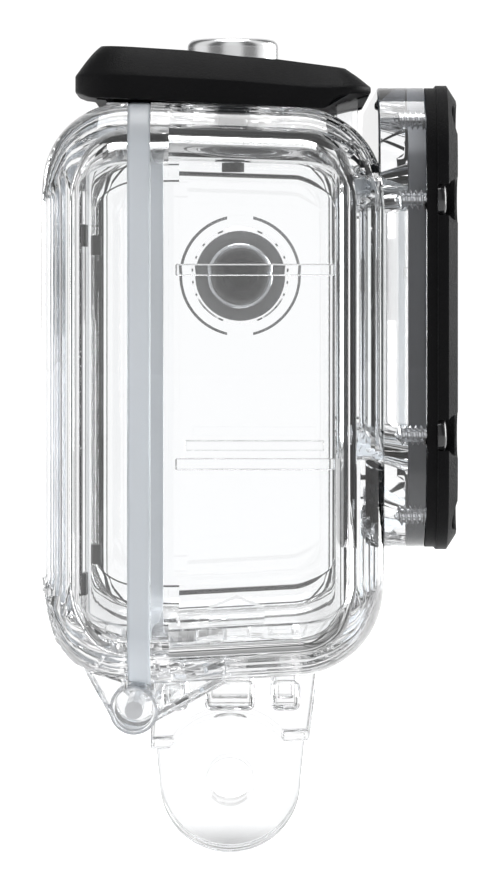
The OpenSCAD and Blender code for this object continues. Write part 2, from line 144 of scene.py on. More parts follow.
def ring(bm, points):
    verts = [bm.verts.new(p) for p in points]
    return [bm.edges.new((verts[i], verts[(i + 1) % len(verts)])) for i in range(len(verts))]


def loft(name, rings):
    """A closed solid through a row of outlines that have the same number of points."""
    bm = bmesh.new()
    loops = [ring(bm, points) for points in rings]
    for a, b in zip(loops, loops[1:]):
        bmesh.ops.bridge_loops(bm, edges=a + b)
    bmesh.ops.contextual_create(bm, geom=loops[0])
    bmesh.ops.contextual_create(bm, geom=loops[-1])
    return link(name, bm)


def rounded_outline(half_w, low, high, r_x, r_z, y, steps=14):
    """A rounded rectangle in the XZ plane at y, with elliptical corners."""
    r_x = max(r_x, 0.05)
    r_z = max(r_z, 0.05)
    corners = [(half_w - r_x, high - r_z, 0), (-half_w + r_x, high - r_z, 1),
               (-half_w + r_x, low + r_z, 2), (half_w - r_x, low + r_z, 3)]
    points = []
    for x, z, quarter in corners:
        for i in range(steps + 1):
            a = (quarter + i / steps) * TURN / 4
            points.append(Vector((x + r_x * math.cos(a), y, z + r_z * math.sin(a))))
    return points


def round_fall(reach, length, radius):
    """How far a rounded end has dropped away at reach along its length."""
    along = min(max((reach - length + radius) / radius, 0), 1)
    return radius * (1 - math.sqrt(1 - along * along))


def tray(name, open_y, end_y, half_w, low, high, corner_r, side_r, edge_r, drafts=(0, 0), steps=16):
    """A block that is flat at open_y and rounded over at end_y: by side_r at the top and underside, and by
    edge_r at the sides. drafts slope the top and the underside away from open_y."""
    away = 1 if end_y > open_y else -1
    length = abs(end_y - open_y)
    turns = [math.sin(i / steps * TURN / 4) for i in range(steps + 1)]
    stations = sorted({0.0} | {round(length - r * (1 - t), 4) for r in (side_r, edge_r) for t in turns})
    rings = []
    for reach in [r for r, after in zip(stations, stations[1:] + [length + 1]) if after - r > 0.01]:
        fall_z = round_fall(reach, length, side_r)
        inset = round_fall(reach, length, edge_r)
        corner = corner_r * (1 - 0.55 * fall_z / side_r)
        rings.append(rounded_outline(half_w - inset, low + drafts[1] * reach + fall_z,
                                     high - drafts[0] * reach - fall_z, corner, corner, open_y + away * reach))
    return loft(name, rings)


def slab(name, half_w, half_h, z, corner_r, y0, y1, bevel=0.0, steps=12):
    """A plate with rounded corners between y0 and y1, its rims bevelled."""
    bm = bmesh.new()
    loops = [ring(bm, rounded_outline(half_w, z - half_h, z + half_h, corner_r, corner_r, y, steps))
             for y in (y0, y1)]
    bmesh.ops.bridge_loops(bm, edges=loops[0] + loops[1])
    caps = [bmesh.ops.contextual_create(bm, geom=loop)["faces"][0] for loop in loops]
    if bevel:
        rims = [e for cap in caps for e in cap.edges]
        bmesh.ops.bevel(bm, geom=rims, offset=bevel, affect="EDGES", segments=4, profile=0.5, material=-1)
    return link(name, bm)


def rod(name, start, end, r0, rim=0.0, segments=64):
    """A cylinder from start to end, its rims rounded by rim."""
    start, end = Vector(start), Vector(end)
    along = end - start
    bm = bmesh.new()
    bmesh.ops.create_cone(bm, cap_ends=True, segments=segments, radius1=r0, radius2=r0, depth=along.length)
    if rim:
        rims = [e for f in bm.faces if len(f.verts) > 4 for e in f.edges]
        bmesh.ops.bevel(bm, geom=rims, offset=rim, affect="EDGES", segments=5, profile=0.5,
                        material=-1)
    place = Matrix.Translation((start + end) / 2) @ along.to_track_quat("Z", "Y").to_matrix().to_4x4()
    bmesh.ops.transform(bm, matrix=place, verts=bm.verts)
    return link(name, bm)


def lathe(name, profile, place, segments=96):
    """A closed outline of (radius, height) points spun round the Z axis, then placed."""
    bm = bmesh.new()
    points = [Vector((max(r, 0), 0, h)) for r, h in profile]
    verts = [bm.verts.new(p) for p in points]
    edges = [bm.edges.new((verts[i], verts[(i + 1) % len(verts)])) for i in range(len(verts))]
    bmesh.ops.spin(bm, geom=verts + edges, axis=(0, 0, 1), cent=(0, 0, 0), angle=TURN, steps=segments,
                   use_merge=True)
    bmesh.ops.remove_doubles(bm, verts=bm.verts, dist=0.0005)
    on_axis = [e for e in bm.edges if all(abs(v.co.x) < 1e-6 and abs(v.co.y) < 1e-6 for v in e.verts)]
    bmesh.ops.delete(bm, geom=[e for e in on_axis if not e.link_faces], context="EDGES")
    bmesh.ops.transform(bm, matrix=place, verts=bm.verts)
    return link(name, bm)


def prism(name, outline, x0, x1, bevel=0.0, segments=3):
    """An outline of (y, z) points carried from x0 to x1."""
    bm = bmesh.new()
    verts = [bm.verts.new((x0, y, z)) for y, z in outline]
    face = bm.faces.new(verts)
    made = bmesh.ops.extrude_face_region(bm, geom=[face])["geom"]
    bmesh.ops.translate(bm, vec=(x1 - x0, 0, 0), verts=[v for v in made if isinstance(v, bmesh.types.BMVert)])
    if bevel:
        bmesh.ops.bevel(bm, geom=bm.edges, offset=bevel, affect="EDGES", segments=segments, profile=0.5,
                        material=-1)
    return link(name, bm)


def block(name, low, high, bevel=0.0, segments=3):
    bm = bmesh.new()
    bmesh.ops.create_cube(bm, size=1)
    low, high = Vector(low), Vector(high)
    bmesh.ops.scale(bm, vec=high - low, verts=bm.verts)
    bmesh.ops.translate(bm, vec=(low + high) / 2, verts=bm.verts)
    if bevel:
        bmesh.ops.bevel(bm, geom=bm.edges, offset=bevel, affect="EDGES", segments=segments, profile=0.5,
                        material=-1)
    return link(name, bm)


def merge(base, tools, operation):
    """Adds or cuts each tool, and leaves one closed mesh."""
    for tool in tools:
        mod = base.modifiers.new(operation, "BOOLEAN")
        mod.operation = operation
        mod.solver = "MANIFOLD"
        mod.object = tool
    bpy.context.view_layer.update()
    mesh = bpy.data.meshes.new_from_object(base.evaluated_get(bpy.context.evaluated_depsgraph_get()))
    base.modifiers.clear()
    base.data = mesh
    for tool in tools:
        bpy.data.objects.remove(tool)
    return base


def add(base, *tools):
    return merge(base, tools, "UNION")


def cut(base, *tools):
    return merge(base, tools, "DIFFERENCE")


def join(name, parts):
    """Separate solids as one mesh."""
    bm = bmesh.new()
    for part in parts:
        bm.from_mesh(part.data)
        bpy.data.objects.remove(part)
    mesh = bpy.data.meshes.new(name)
    bm.to_mesh(mesh)
    bm.free()
    obj = bpy.data.objects.new(name, mesh)
    bpy.context.scene.collection.objects.link(obj)
    return obj


def finish_piece(obj, name, materials, body, nodes, sharp=35, bevel=0.0):
    """Scales a piece to metres and gives it its name, finish and body, and hides the CAD nodes that it stands
    for.
    """
    obj.name = name
    obj.data.name = name
    obj.data.transform(Matrix.Scale(MM, 4))
    painted = [face.material_index for face in obj.data.polygons]
    obj.data.materials.clear()
    for material in materials if isinstance(materials, tuple) else (materials,):
        obj.data.materials.append(material)
    obj.data.polygons.foreach_set("material_index", painted)
    obj.data.shade_smooth()
    obj.data.set_sharp_from_angle(angle=math.radians(sharp))
    if bevel:
        soften = obj.modifiers.new("soft_edges", "BEVEL")
        soften.width = bevel * MM
        soften.segments = 3
        soften.limit_method = "ANGLE"
        soften.angle_limit = math.radians(sharp)
        soften.use_clamp_overlap = True
        # The bevel strips take the last finish, which on the latch and bezel is the lighter black of a painted
        # edge highlight.
        soften.material = len(obj.data.materials) - 1
    weigh = obj.modifiers.new("face_weighted_normals", "WEIGHTED_NORMAL")
    weigh.keep_sharp = True
    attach(obj, body)
    if nodes:
        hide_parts(*nodes)
    return obj


# ---------------------------------------------------------------- material helpers

class Finish:
    """A material with a Principled BSDF and short calls to wire it."""

    def __init__(self, name, **sockets):
        self.material = bpy.data.materials.new(name)
        self.material.use_nodes = True
        self.tree = self.material.node_tree
        self.shader = self.tree.nodes["Principled BSDF"]
        for socket, value in sockets.items():
            self.shader.inputs[socket.replace("_", " ")].default_value = value

    def node(self, kind, **settings):
        made = self.tree.nodes.new(kind)
        for key, value in settings.items():
            setattr(made, key, value)
        return made

    def link(self, source, target):
        self.tree.links.new(source, target)

    def group(self, tree, **values):
        made = self.node("ShaderNodeGroup", node_tree=tree)
        for key, value in values.items():
            made.inputs[key.replace("_", " ")].default_value = value
        return made

    def object_coordinates(self):
        return self.node("ShaderNodeTexCoord").outputs["Object"]


def new_group(name, inputs, outputs):
    tree = bpy.data.node_groups.new(name, "ShaderNodeTree")
    for socket, kind, value in inputs:
        made = tree.interface.new_socket(socket, in_out="INPUT", socket_type=kind)
        if value is not None:
            made.default_value = value
    for socket, kind in outputs:
        tree.interface.new_socket(socket, in_out="OUTPUT", socket_type=kind)
    return tree, tree.nodes.new("NodeGroupInput"), tree.nodes.new("NodeGroupOutput")


def fine_grain_group():
    """Moulded or ground surface: a fine height and a slow change of roughness."""
    tree, given, out = new_group(
        "fine_grain",
        [("Vector", "NodeSocketVector", None), ("Scale", "NodeSocketFloat", 2500.0),
         ("Patch Scale", "NodeSocketFloat", 60.0), ("Rough Low", "NodeSocketFloat", 0.2),
         ("Rough High", "NodeSocketFloat", 0.4)],
        [("Height", "NodeSocketFloat"), ("Roughness", "NodeSocketFloat")])
    fine = tree.nodes.new("ShaderNodeTexNoise")
    fine.inputs["Detail"].default_value = 3
    patch = tree.nodes.new("ShaderNodeTexNoise")
    patch.inputs["Detail"].default_value = 2
    spread = tree.nodes.new("ShaderNodeMapRange")
    tree.links.new(given.outputs["Vector"], fine.inputs["Vector"])
    tree.links.new(given.outputs["Scale"], fine.inputs["Scale"])
    tree.links.new(given.outputs["Vector"], patch.inputs["Vector"])
    tree.links.new(given.outputs["Patch Scale"], patch.inputs["Scale"])
    tree.links.new(patch.outputs["Fac"], spread.inputs["Value"])
    spread.inputs["From Min"].default_value = 0.3
    spread.inputs["From Max"].default_value = 0.7
    tree.links.new(given.outputs["Rough Low"], spread.inputs["To Min"])
    tree.links.new(given.outputs["Rough High"], spread.inputs["To Max"])
    tree.links.new(fine.outputs["Fac"], out.inputs["Height"])
    tree.links.new(spread.outputs["Result"], out.inputs["Roughness"])
    return tree


def wear_and_highlight_group():
    """A mask along raised edges, broken up by noise, where a lighter tone is mixed in: wear, and a painted
    highlight along the edges.
    """
    tree, given, out = new_group(
        "edge_wear_and_highlight",
        [("Vector", "NodeSocketVector", None), ("Low", "NodeSocketFloat", 0.6),
         ("High", "NodeSocketFloat", 0.8)],
        [("Mask", "NodeSocketFloat")])
    geometry = tree.nodes.new("ShaderNodeNewGeometry")
    edges = tree.nodes.new("ShaderNodeMapRange")
    noise = tree.nodes.new("ShaderNodeTexNoise")
    noise.inputs["Scale"].default_value = 900
    broken = tree.nodes.new("ShaderNodeMapRange")
    both = tree.nodes.new("ShaderNodeMath")
    both.operation = "MULTIPLY"
    tree.links.new(geometry.outputs["Pointiness"], edges.inputs["Value"])
    tree.links.new(given.outputs["Low"], edges.inputs["From Min"])
    tree.links.new(given.outputs["High"], edges.inputs["From Max"])
    tree.links.new(given.outputs["Vector"], noise.inputs["Vector"])
    tree.links.new(noise.outputs["Fac"], broken.inputs["Value"])
    broken.inputs["From Min"].default_value = 0.4
    broken.inputs["From Max"].default_value = 0.65
    tree.links.new(edges.outputs["Result"], both.inputs[0])
    tree.links.new(broken.outputs["Result"], both.inputs[1])
    tree.links.new(both.outputs["Value"], out.inputs["Mask"])
    return tree


GRAIN = fine_grain_group()
WEAR_AND_HIGHLIGHT = wear_and_highlight_group()


def add_grain(finish, scale, strength, distance, rough, patch_scale=60.0):
    grain = finish.group(GRAIN, Scale=scale, Patch_Scale=patch_scale, Rough_Low=rough[0], Rough_High=rough[1])
    finish.link(finish.object_coordinates(), grain.inputs["Vector"])
    bump = finish.node("ShaderNodeBump")
    bump.inputs["Strength"].default_value = strength
    bump.inputs["Distance"].default_value = distance
    finish.link(grain.outputs["Height"], bump.inputs["Height"])
    finish.link(bump.outputs["Normal"], finish.shader.inputs["Normal"])
    finish.link(grain.outputs["Roughness"], finish.shader.inputs["Roughness"])


# Mixes a lighter tone onto raised edges: wear, and a painted highlight along the edges.
def add_wear_and_highlight(finish, base, worn_and_lit):
    mask = finish.group(WEAR_AND_HIGHLIGHT)
    finish.link(finish.object_coordinates(), mask.inputs["Vector"])
    mix = finish.node("ShaderNodeMix", data_type="RGBA")
    mix.inputs["A"].default_value = (*base, 1)
    mix.inputs["B"].default_value = (*worn_and_lit, 1)
    finish.link(mask.outputs["Mask"], mix.inputs["Factor"])
    finish.link(mix.outputs["Result"], finish.shader.inputs["Base Color"])


def let_light_through(finish, tint):
    """Shadow rays pass the clear plastic, as its real caustics would fill the shade behind it."""
    path = finish.node("ShaderNodeLightPath")
    clear = finish.node("ShaderNodeBsdfTransparent")
    clear.inputs["Color"].default_value = (*tint, 1)
    mix = finish.node("ShaderNodeMixShader")
    output = finish.tree.nodes["Material Output"]
    finish.link(path.outputs["Is Shadow Ray"], mix.inputs["Fac"])
    finish.link(finish.shader.outputs["BSDF"], mix.inputs[1])
    finish.link(clear.outputs["BSDF"], mix.inputs[2])
    finish.link(mix.outputs["Shader"], output.inputs["Surface"])


def clear_plastic():
    finish = Finish("clear_polycarbonate", Base_Color=(0.985, 0.99, 0.995, 1), IOR=1.585,
                    Transmission_Weight=1.0)
    add_grain(finish, scale=90, strength=0.02, distance=0.0001, rough=(0.0, 0.012), patch_scale=45)
    let_light_through(finish, (0.97, 0.98, 0.985))
    return finish.material


def window_glass():
    finish = Finish("window_glass", Base_Color=(0.96, 0.985, 0.98, 1), IOR=1.52, Transmission_Weight=1.0)
    add_grain(finish, scale=40, strength=0.01, distance=0.0001, rough=(0.0, 0.006), patch_scale=30)
    let_light_through(finish, (0.96, 0.98, 0.975))
    return finish.material


def frosted_silicone():
    finish = Finish("frosted_silicone", IOR=1.41, Transmission_Weight=0.55)
    add_grain(finish, scale=1500, strength=0.12, distance=0.00005, rough=(0.32, 0.5))
    # The lighter tone on the gasket's raised rims is a painted highlight.
    add_wear_and_highlight(finish, (0.66, 0.69, 0.725), (0.84, 0.86, 0.88))
    return finish.material


def black_textured(name, gloss, grain_strength, low, high):
    """Black moulded plastic whose tone varies a little in patches."""
    finish = Finish(name, IOR=1.49, Specular_IOR_Level=gloss)
    add_grain(finish, scale=6500, strength=grain_strength, distance=0.0001, rough=(0.38, 0.5))
    patches = finish.node("ShaderNodeTexNoise")
    patches.inputs["Scale"].default_value = 350
    patches.inputs["Detail"].default_value = 6
    mix = finish.node("ShaderNodeMix", data_type="RGBA")
    mix.inputs["A"].default_value = (*low, 1)
    mix.inputs["B"].default_value = (*high, 1)
    finish.link(finish.object_coordinates(), patches.inputs["Vector"])
    finish.link(patches.outputs["Fac"], mix.inputs["Factor"])
    finish.link(mix.outputs["Result"], finish.shader.inputs["Base Color"])
    return finish.material


def plain_rubber(name, base, worn_and_lit, rough):
    finish = Finish(name, IOR=1.5)
    add_grain(finish, scale=1800, strength=0.15, distance=0.00006, rough=rough)
    add_wear_and_highlight(finish, base, worn_and_lit)
    return finish.material


def turned_metal(name, base, rough, centre):
    """Metal with the fine circles that a lathe leaves round an upright axis through centre."""
    finish = Finish(name, Base_Color=(*base, 1), Metallic=1.0)
    mapping = finish.node("ShaderNodeMapping")
    mapping.inputs["Location"].default_value = (-centre.x, -centre.y, 0)
    split = finish.node("ShaderNodeSeparateXYZ")
    flat = finish.node("ShaderNodeCombineXYZ")
    length = finish.node("ShaderNodeVectorMath", operation="LENGTH")
    circles = finish.node("ShaderNodeCombineXYZ")
    fine = finish.node("ShaderNodeTexNoise")
    fine.inputs["Scale"].default_value = 9000
    fine.inputs["Detail"].default_value = 2
    spread = finish.node("ShaderNodeMapRange")
    spread.inputs["From Min"].default_value = 0.3
    spread.inputs["From Max"].default_value = 0.7
    spread.inputs["To Min"].default_value = rough[0]
    spread.inputs["To Max"].default_value = rough[1]
    bump = finish.node("ShaderNodeBump")
    bump.inputs["Strength"].default_value = 0.08
    bump.inputs["Distance"].default_value = 0.00001
    finish.link(finish.object_coordinates(), mapping.inputs["Vector"])
    finish.link(mapping.outputs["Vector"], split.inputs["Vector"])
    finish.link(split.outputs["X"], flat.inputs["X"])
    finish.link(split.outputs["Y"], flat.inputs["Y"])
    finish.link(flat.outputs["Vector"], length.inputs[0])
    finish.link(length.outputs["Value"], circles.inputs["X"])
    finish.link(split.outputs["Z"], circles.inputs["Z"])
    finish.link(circles.outputs["Vector"], fine.inputs["Vector"])
    finish.link(fine.outputs["Fac"], spread.inputs["Value"])
    finish.link(fine.outputs["Fac"], bump.inputs["Height"])
    finish.link(spread.outputs["Result"], finish.shader.inputs["Roughness"])
    finish.link(bump.outputs["Normal"], finish.shader.inputs["Normal"])
    return finish.material


def black_steel():
    finish = Finish("black_steel", IOR=1.5, Specular_IOR_Level=0.4)
    add_grain(finish, scale=1500, strength=0.05, distance=0.00003, rough=(0.1, 0.22))
    add_wear_and_highlight(finish, (0.012, 0.012, 0.013), (0.09, 0.09, 0.095))
    return finish.material


def bright_steel():
    finish = Finish("bright_steel", Base_Color=(0.72, 0.73, 0.75, 1), Metallic=1.0)
    add_grain(finish, scale=3000, strength=0.05, distance=0.00003, rough=(0.12, 0.28))
    return finish.material


CLEAR = clear_plastic()
GLASS = window_glass()
SILICONE = frosted_silicone()
LATCH_BLACK = black_textured("latch_black", 0.05, 0.6, (0.003, 0.003, 0.0034), (0.006, 0.006, 0.0064))
BEZEL_BLACK = black_textured("bezel_black", 0.04, 1.0, (0.003, 0.003, 0.0034), (0.006, 0.006, 0.0064))
# A lighter, glossier black for the bevel strips of the latch and bezel: a painted highlight along their edges.
EDGE_HIGHLIGHT_BLACK = black_textured("black_edge_painted_highlight", 0.2, 0.3, (0.006, 0.006, 0.0066), (0.03, 0.03, 0.032))
SEAL_GREY = plain_rubber("seal_grey", (0.085, 0.093, 0.11), (0.14, 0.145, 0.16), (0.4, 0.55))
BLACK_RUBBER = plain_rubber("black_rubber", (0.012, 0.012, 0.012), (0.03, 0.03, 0.03), (0.5, 0.7))
DARK_GREY = plain_rubber("dark_grey_plastic", (0.022, 0.023, 0.025), (0.06, 0.06, 0.065), (0.18, 0.3))
STEEL = bright_steel()
BLACK_STEEL = black_steel()
CAP_METAL = turned_metal("satin_cap_metal", (0.7, 0.705, 0.71), (0.2, 0.27), SHUTTER * MM)


# ---------------------------------------------------------------- clear parts

RIM_DEPTH = 1.8
RIM_STEP = 0.5


def shell_block(name, grow=0.0):
    return tray(name, SHELL_REAR_Y + grow, SHELL_FRONT_Y - grow, HALF_W + grow, BODY_LOW - grow,
                BODY_TOP + grow, CORNER_R + grow, SIDE_R + grow, EDGE_R + grow, (TOP_DRAFT, LOW_DRAFT))


def button_cup(place, floor, high, sink):
    """A clear cup round a button, as a solid and the hollow to cut from it."""
    cup = lathe("cup", [(0, floor - sink), (CUP_R, floor - sink), (CUP_R, high - 0.3), (CUP_R - 0.3, high),
                        (0, high)], place)
    hollow = lathe("cup_hollow", [(0, floor), (CUP_INNER_R - 0.2, floor), (CUP_INNER_R, floor + 0.2),
                                  (CUP_INNER_R, high + 1), (0, high + 1)], place)
    return cup, hollow


def place_up(x, y):
    return Matrix.Translation((x, y, 0))


def place_side(y, z):
    return Matrix.Translation((0, y, z)) @ Matrix.Rotation(TURN / 4, 4, "Y")


def hinge_lug(x0, x1, outline):
    lug = rod("lug", (x0, HINGE.y, HINGE.z), (x1, HINGE.y, HINGE.z), KNUCKLE_R, 0.5)
    return add(lug, prism("web", outline, x0, x1, 0.45, 4))


def knuckle_reliefs(low_x, high_x):
    """Room for the hinge knuckles, on both sides."""
    return [rod("relief", (x0, HINGE.y, HINGE.z), (x0 + high_x - low_x, HINGE.y, HINGE.z),
                KNUCKLE_R + KNUCKLE_RELIEF) for x0 in (low_x, -high_x)]


def front_shell():
    outer = shell_block("front_shell")
    flange = slab("flange", FLANGE_W - 0.2, FLANGE_H - 0.2, FLANGE_Z, FLANGE_R, seal_low.y,
                  SHELL_FRONT_Y + 0.6, 0.25)
    shutter_place = place_up(SHUTTER.x, SHUTTER.y)
    side_place = place_side(SIDE.y, SIDE.z)
    shutter_cup, shutter_hollow = button_cup(shutter_place, BODY_TOP, BODY_TOP + SHUTTER_CUP_H, 2)
    side_cup, side_hollow = button_cup(side_place, HALF_W, HALF_W + SIDE_CUP_H, 2)
    ears = []
    for x in EAR_X:
        x0, x1 = x - EAR_HALF_W, x + EAR_HALF_W
        ears.append(rod("ear", (x0, LATCH_PIN.y, LATCH_PIN.z), (x1, LATCH_PIN.y, LATCH_PIN.z), EAR_R))
        ears.append(block("ear_post", (x0, LATCH_PIN.y - EAR_R, BODY_TOP - 4),
                          (x1, LATCH_PIN.y + EAR_R, LATCH_PIN.z)))
    web = [(SHELL_REAR_Y, BODY_LOW + 1), (0, BODY_LOW + 1), (0, BODY_LOW - 0.1), (8.5, 8), (9, HINGE.z),
           (SHELL_REAR_Y, 11.2)]
    lugs = [hinge_lug(*sorted((s * SHELL_LUG_X[0], s * SHELL_LUG_X[1])), web) for s in (-1, 1)]
    add(outer, flange, shutter_cup, side_cup, *ears, *lugs)

    cavity = tray("cavity", SHELL_REAR_Y - RIM_DEPTH, SHELL_FRONT_Y + WALL, HALF_W - WALL + RIM_STEP,
                  BODY_LOW + END_WALL - RIM_STEP, BODY_TOP - END_WALL + RIM_STEP, CORNER_R - WALL,
                  SIDE_R - WALL, INNER_EDGE_R, (TOP_DRAFT, LOW_DRAFT))
    mouth = slab("mouth", HALF_W - WALL, BODY_HALF_H - END_WALL, BODY_MID_Z, CORNER_R - WALL,
                 SHELL_REAR_Y - RIM_DEPTH - 0.5, SHELL_REAR_Y + 1)
    add(cavity, mouth)
    ribs = [block("rib", (-HALF_W, -10.6, z - 0.6), (-HALF_W + WALL + 1, 5.3, z + 0.6), 0.15)
            for z in (54.3, 34.9)]
    ribs.append(block("rib", (HALF_W - WALL - 1, -10.6, 34.3), (HALF_W, 5.3, 35.5), 0.15))
    floor_lug = [(-3.7, 15), (2.3, 15), (2.3, 18.4), (-0.7, 19.6), (-3.7, 18.4)]
    ribs.append(prism("floor_lug", floor_lug, -3, 3))
    cut(cavity, *ribs)
    cut(outer, cavity)

    inside, outside = (26, 14.5, 4), (29.2, 15.7, 5)
    stations = ((*inside, 0), (*inside, -14.5), (*outside, -18.3), (*outside, -30))
    port = loft("port", [rounded_outline(w, FLANGE_Z - h, FLANGE_Z + h, r, r, y) for w, h, r, y in stations])
    pocket = slab("pocket", seal_high.x - 0.03, (seal_high.z - seal_low.z) / 2 - 0.03, FLANGE_Z, 7.5, -30,
                  seal_high.y)
    bushes = [rod("bore", (SHUTTER.x, SHUTTER.y, 60), (SHUTTER.x, SHUTTER.y, 90), 1.88),
              rod("bore", (30, SIDE.y, SIDE.z), (50, SIDE.y, SIDE.z), 1.88)]
    slots = [block("drain", (HALF_W + 0.8, SIDE.y - 1.5, SIDE.z + s * 6.3 - 1.2),
                   (HALF_W + 9, SIDE.y + 1.5, SIDE.z + s * 6.3 + 1.2)) for s in (-1, 1)]
    cut(outer, port, pocket, shutter_hollow, side_hollow, *bushes, *slots)
    return finish_piece(outer, "clear_shell", CLEAR, "housing", ["front_shell"], bevel=0.1)


def rear_door():
    outer = tray("rear_door", DOOR_FRONT_Y, DOOR_REAR_Y, HALF_W, BODY_LOW, BODY_TOP, CORNER_R, SIDE_R, EDGE_R)
    arm_top = BODY_LOW + 6
    arm = [(HINGE.y + 0.3, HINGE.z - KNUCKLE_R + 0.02), (11.3, 8.5), (15.7, BODY_LOW + 3.6), (15.7, arm_top),
           (DOOR_FRONT_Y, arm_top), (DOOR_FRONT_Y, HINGE.z)]
    arms = [hinge_lug(*sorted((s * DOOR_LUG_X[0], s * DOOR_LUG_X[1])), arm) for s in (-1, 1)]
    posts = [block("post", (x - 2, 11, BODY_TOP - 1.5), (x + 2, 12.4, door_high.z), 0.2) for x in (-29, -12)]
    add(outer, *arms, *posts)
    cavity = tray("door_cavity", DOOR_FRONT_Y - 1, DOOR_REAR_Y - WALL, HALF_W - WALL, BODY_LOW + END_WALL,
                  BODY_TOP - END_WALL, CORNER_R - WALL, SIDE_R - WALL, INNER_EDGE_R)
    pads = [block("pad_recess", (sx * 31.4 - 1.55, 14.7, z - 1.15), (sx * 31.4 + 1.55, 15.94, z + 1.15))
            for sx in (-1, 1) for z in (pads_low.z + 1.1, pads_high.z - 1.1)]
    cut(outer, cavity, *knuckle_reliefs(13.8, 30.1), *pads)
    return finish_piece(outer, "clear_door", CLEAR, "door", ["rear_door"], bevel=0.1)


def mount_foot():
    base = prism("mount_foot", [(-8.4, 5.0), (8.4, 4.1), (8.0, 12.7), (-9.4, 12.7)], -11, 11, 0.3)
    arch = rod("arch", (-20, 0, 0), (20, 0, 0), 7.6, segments=128)
    cut(base, arch)
    outline = [(FINGER_R * math.cos(a), -FINGER_R * math.sin(a))
               for a in (i / 64 * TURN / 2 for i in range(65))]
    outline += [(-8.4, 9), (8.4, 9)]
    fingers = [prism("finger", outline, *sorted((s * 1.5, s * 4.5)), 0.18) for s in (-1, 1)]
    add(base, *fingers)
    pockets = [block("side_pocket", (min(s * 9.2, s * 13), y0, 8.2), (max(s * 9.2, s * 13), y1, 11.4), 0.7)
               for s in (-1, 1) for y0, y1 in ((-7.4, -4.4), (-2.6, 2.6), (4.4, 7.0))]
    cut(base, rod("cross_bore", (-20, 0, 0), (20, 0, 0), BORE_R, segments=96), *pockets)
    return finish_piece(base, "clear_foot", CLEAR, "housing", ["mount_foot"], bevel=0.12)


def window():
    half_h = (glass_high.z - glass_low.z) / 2
    plate = slab("window_glass", glass_high.x, half_h, FLANGE_Z, 5.5, glass_low.y + 0.02,
                 glass_high.y - 0.02, 0.15)
    return finish_piece(plate, "window_plate", GLASS, "housing", ["port_glass"])


# ---------------------------------------------------------------- seals and pads

def door_gasket():
    outer = slab("door_gasket", HALF_W - 0.05, BODY_HALF_H - 0.05, BODY_MID_Z, CORNER_R, gasket_low.y,
                 gasket_high.y - 0.02, 0.3, steps=16)
    inner = slab("gasket_hollow", HALF_W - WALL, BODY_HALF_H - END_WALL, BODY_MID_Z, CORNER_R - WALL, 0, 20)
    cut(outer, inner, *knuckle_reliefs(13.8, 36.2))
    return finish_piece(outer, "frosted_gasket", SILICONE, "door", ["door_gasket"])


def window_seal():
    half_h = (seal_high.z - seal_low.z) / 2
    outer = slab("port_seal", seal_high.x, half_h, FLANGE_Z, 7.5, seal_low.y, seal_high.y)
    recess = slab("recess", seal_high.x - 2, half_h - 2, FLANGE_Z, 5.5, -30, seal_high.y - 0.4)
    opening = slab("opening", seal_high.x - 3.5, half_h - 3.5, FLANGE_Z, 4, -30, 0)
    cut(outer, recess, opening)
    return finish_piece(outer, "window_seal", SEAL_GREY, "housing", ["port_seal"])


# ---------------------------------------------------------------- black parts

def along_line(points, y):
    """The height at y on a line given as (y, z) points with falling y."""
    for (y1, z1), (y0, z0) in zip(points, points[1:]):
        if y >= y0:
            return z0 + (z1 - z0) * (min(y, y1) - y0) / (y1 - y0)
    return points[-1][1]


LATCH_UNDERSIDE = [(15.6, 72.25), (13.9, 71.65), (12.6, 71.6), (0.9, 71.0), (-9.4, 70.5), (-9.8, 70.62),
                   (-10.1, 71.0), (-10.5, 71.4), (-10.9, 71.65), (-11.6, 71.87), (-12.4, 72.0), (-14.4, 72.1)]
LATCH_CREASE = [(15.6, 74.05), (8.5, 73.85), (-1.1, 73.3), (-8.9, 72.6), (-14.4, 72.8)]
LATCH_TOP = [(13.0, 77.05), (4.1, 76.5), (0.9, 76.05), (-4.9, 75.6), (-10.2, 74.9), (-12.4, 74.6)]
LATCH_REAR_R = 6.0
LATCH_FRONT_R = 3.6
LATCH_BEVEL = 2.6


def latch_outline(inset, height):
    """The latch's outline from above, drawn inwards by inset, with its height given by y."""
    x0, x1 = latch_low.x + inset, latch_high.x - inset
    y0, y1 = -14.35 + inset, 15.6 - inset
    rear_r = LATCH_REAR_R - inset
    front_r = max(LATCH_FRONT_R - inset, 0.2)
    stations = [-10.5, -10.25, -10.0, -9.75, -9.5, -9.2, -8, -5, -1, 4, 9]
    points = []
    corners = ((x1 - rear_r, y1 - rear_r, rear_r, 0), (x0 + rear_r, y1 - rear_r, rear_r, 1),
               (x0 + front_r, y0 + front_r, front_r, 2), (x1 - front_r, y0 + front_r, front_r, 3))
    for x, y, r, quarter in corners:
        for i in range(17):
            a = (quarter + i / 16) * TURN / 4
            points.append((x + r * math.cos(a), y + r * math.sin(a)))
        if quarter == 1:
            points += [(x0, s) for s in reversed(stations)]
        if quarter == 3:
            points += [(x1, s) for s in stations]
    return [Vector((x, y, height(y))) for x, y in points]


def beyond_tab():
    """The room behind the latch, past its finger tab, with a round inner corner."""
    bm = bmesh.new()
    radius = 4.0
    centre = Vector((-21 + radius, 13.9 + radius, 60))
    points = [(40, 13.9, 60), (40, 40, 60), (-21, 40, 60)]
    points += [(centre.x - radius * math.cos(a), centre.y - radius * math.sin(a), 60)
               for a in (i / 12 * TURN / 4 for i in range(13))]
    face = bm.faces.new([bm.verts.new(p) for p in points])
    made = bmesh.ops.extrude_face_region(bm, geom=[face])["geom"]
    bmesh.ops.translate(bm, vec=(0, 0, 30), verts=[v for v in made if isinstance(v, bmesh.types.BMVert)])
    return link("beyond_tab", bm)


